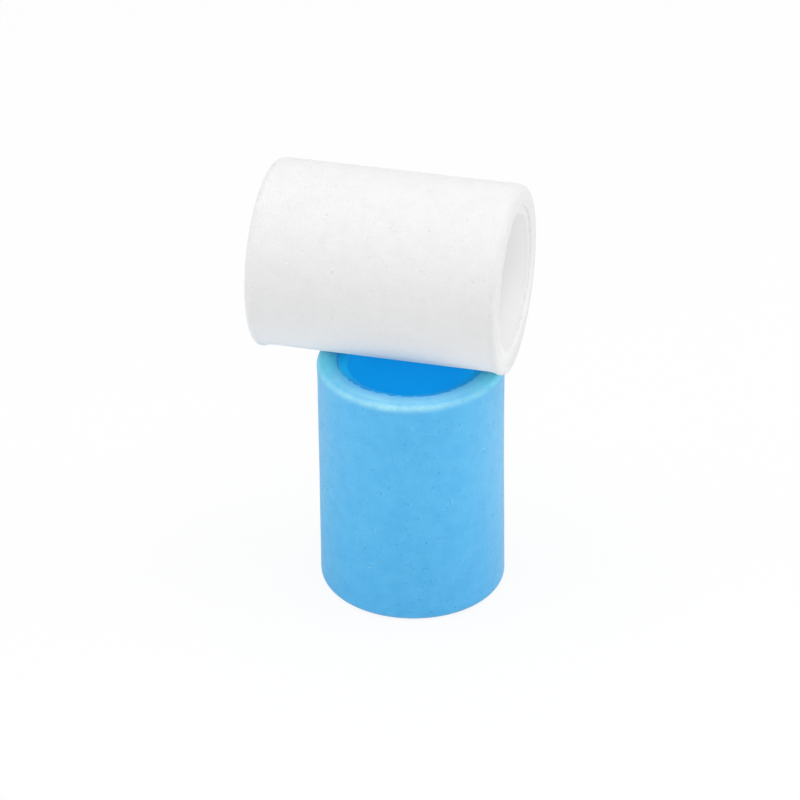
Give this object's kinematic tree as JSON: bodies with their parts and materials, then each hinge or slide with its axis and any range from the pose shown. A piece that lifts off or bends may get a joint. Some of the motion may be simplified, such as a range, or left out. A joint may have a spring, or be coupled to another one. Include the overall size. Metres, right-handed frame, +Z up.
{
  "type": "paint roller sleeves",
  "caption": "Foam paint roller refill sleeves, each a soft foam cover on a stiff core tube open at both ends; one stands on its end and the other lies loose across its rim.",
  "frame": {"origin": "on the floor under the middle of the lying white sleeve, which is also the middle of the set's footprint; the standing sleeve's axis is 5.3 mm to the right of it (+X) and 7 mm in front of it (-Y)", "axes": "+Z up along the standing sleeve's axis; +X to the right, 14.8 degrees from the lying sleeve's axis; -Y to the front, where the lying sleeve's right end is turned"},
  "size_m": [0.0856, 0.0718, 0.1308],
  "materials": {
    "foam_blue": "matte",
    "core_blue": "satin",
    "foam_white": "matte",
    "core_white": "satin"
  },
  "bodies": {
    "standing_sleeve": {"blue_foam_cover": "foam_blue", "blue_core_tube": "core_blue"},
    "lying_sleeve": {"white_foam_cover": "foam_white", "white_core_tube": "core_white"}
  },
  "joints": [
    {"name": "white_sleeve_lift", "type": "slide", "parent": "standing_sleeve", "child": "lying_sleeve", "axis": [0, 0, 1], "range_m": [0, 0.08]}
  ]
}
